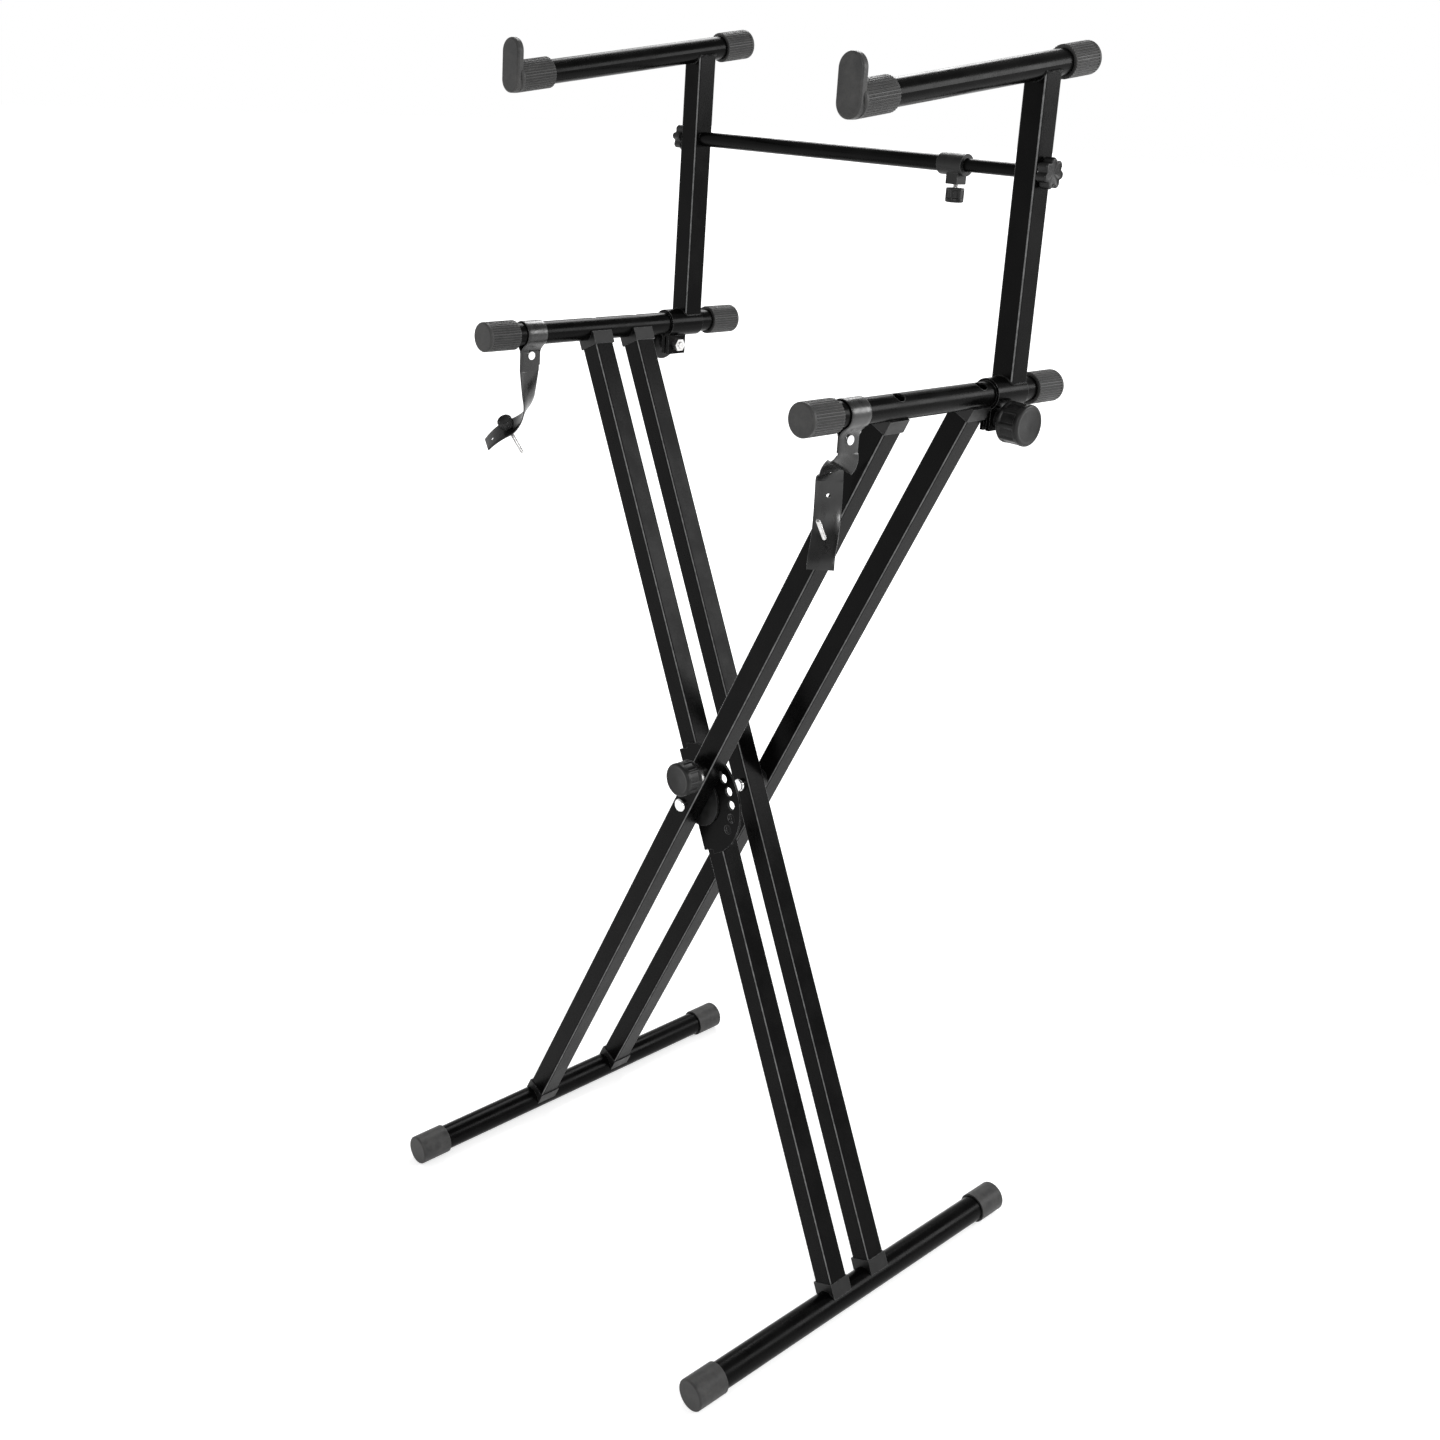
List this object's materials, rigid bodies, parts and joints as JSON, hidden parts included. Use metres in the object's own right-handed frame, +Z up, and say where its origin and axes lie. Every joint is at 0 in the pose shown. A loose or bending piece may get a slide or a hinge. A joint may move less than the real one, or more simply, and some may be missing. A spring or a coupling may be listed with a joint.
{
  "type": "folding keyboard stand",
  "caption": "Two-tier folding keyboard stand: a double-braced X frame with a locking pivot, and a clamped upper tier with uprights, stop-ended arms and a telescoping crossbar.",
  "frame": {"origin": "on the floor, midway between the four foot caps and straight under the pivot", "axes": "+X from the left support bar to the right one, +Y from the front to the back, where the uprights stand, +Z up"},
  "size_m": [0.5508, 0.49, 1.3296],
  "materials": {
    "black_powder_coat": "satin black powder coat",
    "black_rubber": "moulded, ribbed, matt",
    "black_plastic": "moulded, fine grain",
    "chrome": "polished",
    "zinc_steel": "zinc plated",
    "strap_rubber": "smooth webbing, slightly shiny",
    "spring_steel": "drawn wire"
  },
  "bodies": {
    "outer_frame": {"outer_leg_front": "black_powder_coat", "outer_leg_back": "black_powder_coat", "outer_leg_saddles": "black_plastic", "outer_saddle_bolts": "zinc_steel", "outer_leg_bushes": "zinc_steel", "left_foot_bar": "black_powder_coat", "right_support_bar": "black_powder_coat", "left_foot_cap_front": "black_rubber", "right_bar_cap_front": "black_rubber", "left_foot_cap_back": "black_rubber", "right_bar_cap_back": "black_rubber", "pivot_bolts": "chrome", "pivot_nuts": "zinc_steel", "pivot_spacers": "black_plastic", "lock_housing": "zinc_steel", "lock_spring": "spring_steel"},
    "inner_frame": {"inner_leg_front": "black_powder_coat", "inner_leg_back": "black_powder_coat", "inner_leg_saddles": "black_plastic", "inner_saddle_bolts": "zinc_steel", "inner_leg_bushes": "zinc_steel", "right_foot_bar": "black_powder_coat", "left_support_bar": "black_powder_coat", "right_foot_cap_front": "black_rubber", "left_bar_cap_front": "black_rubber", "right_foot_cap_back": "black_rubber", "left_bar_cap_back": "black_rubber", "lock_plate": "black_powder_coat"},
    "lock_pin": {"lock_pin": "zinc_steel", "lock_knob": "black_plastic"},
    "left_tier": {"left_clamp_sleeve": "black_powder_coat", "left_clamp_nut": "zinc_steel", "left_upright": "black_powder_coat", "left_upper_arm": "black_powder_coat", "left_arm_cap": "black_rubber", "left_star_washer": "chrome", "crossbar_outer_tube": "black_powder_coat", "crossbar_collar": "black_plastic"},
    "left_strap": {"left_strap": "strap_rubber", "left_strap_rivet": "chrome"},
    "left_thumb_screw": {"left_thumb_screw": "black_plastic"},
    "left_clamp_knob": {"left_clamp_knob": "black_plastic"},
    "left_star_knob": {"left_star_knob": "black_plastic"},
    "left_stop": {"left_stop": "black_rubber"},
    "right_tier": {"right_clamp_sleeve": "black_powder_coat", "right_clamp_nut": "zinc_steel", "right_upright": "black_powder_coat", "right_upper_arm": "black_powder_coat", "right_arm_cap": "black_rubber", "right_star_washer": "chrome", "crossbar_inner_tube": "black_powder_coat"},
    "right_strap": {"right_strap": "strap_rubber", "right_strap_rivet": "chrome"},
    "right_thumb_screw": {"right_thumb_screw": "black_plastic"},
    "right_clamp_knob": {"right_clamp_knob": "black_plastic"},
    "right_star_knob": {"right_star_knob": "black_plastic"},
    "right_stop": {"right_stop": "black_rubber"},
    "collar_knob": {"collar_knob": "black_plastic"}
  },
  "joints": [
    {"name": "fold", "type": "hinge", "parent": "outer_frame", "child": "inner_frame", "pos_m": [0, 0, 0.51827], "axis": [0, -1, 0], "range_deg": [0, 35]},
    {"name": "right_tier_level", "type": "hinge", "parent": "outer_frame", "child": "right_tier", "pos_m": [0.23283, 0.0995, 0.99883], "axis": [0, -1, 0], "range_deg": [0, 17.5]},
    {"name": "left_tier_level", "type": "hinge", "parent": "inner_frame", "child": "left_tier", "pos_m": [-0.23283, 0.0995, 0.99883], "axis": [0, -1, 0], "range_deg": [-17.5, 0]},
    {"name": "lock_pull", "type": "slide", "parent": "outer_frame", "child": "lock_pin", "axis": [0, 1, 0], "range_m": [-0.004, 0.0058], "deforming": ["lock_spring"]},
    {"name": "left_clamp_turn", "type": "hinge", "parent": "left_tier", "child": "left_clamp_knob", "pos_m": [-0.23843, 0.092, 0.97383], "axis": [-1, 0, 0], "continuous": true},
    {"name": "left_star_turn", "type": "hinge", "parent": "left_tier", "child": "left_star_knob", "pos_m": [-0.24693, 0.11, 1.20783], "axis": [-1, 0, 0], "continuous": true},
    {"name": "left_stop_turn", "type": "hinge", "parent": "left_tier", "child": "left_stop", "pos_m": [-0.23283, -0.10659, 1.27146], "axis": [0, -0.989, -0.1478], "range_deg": [-90, 90]},
    {"name": "left_strap_swing", "type": "hinge", "parent": "inner_frame", "child": "left_strap", "pos_m": [-0.23283, -0.131, 0.99883], "axis": [0, -1, 0], "range_deg": [-60, 60]},
    {"name": "left_thumb_turn", "type": "hinge", "parent": "left_strap", "child": "left_thumb_screw", "pos_m": [-0.2474, -0.1359, 0.89643], "axis": [0.1759, -0.6115, 0.7714], "continuous": true},
    {"name": "right_clamp_turn", "type": "hinge", "parent": "right_tier", "child": "right_clamp_knob", "pos_m": [0.23843, 0.092, 0.97383], "axis": [1, 0, 0], "continuous": true},
    {"name": "right_star_turn", "type": "hinge", "parent": "right_tier", "child": "right_star_knob", "pos_m": [0.24693, 0.11, 1.20783], "axis": [1, 0, 0], "continuous": true},
    {"name": "right_stop_turn", "type": "hinge", "parent": "right_tier", "child": "right_stop", "pos_m": [0.23283, -0.10659, 1.27146], "axis": [0, -0.989, -0.1478], "range_deg": [-90, 90]},
    {"name": "right_strap_swing", "type": "hinge", "parent": "outer_frame", "child": "right_strap", "pos_m": [0.23283, -0.131, 0.99883], "axis": [0, -1, 0], "range_deg": [-60, 60]},
    {"name": "right_thumb_turn", "type": "hinge", "parent": "right_strap", "child": "right_thumb_screw", "pos_m": [0.1986, -0.09894, 0.87043], "axis": [-0.3859, 0.6959, -0.6056], "continuous": true},
    {"name": "collar_knob_turn", "type": "hinge", "parent": "left_tier", "child": "collar_knob", "pos_m": [0.14417, 0.11, 1.18533], "axis": [0, 0, 1], "continuous": true}
  ],
  "couplings": [
    {"joint": "right_tier_level", "follows": "fold", "ratio": 0.5},
    {"joint": "left_tier_level", "follows": "fold", "ratio": -0.5}
  ]
}
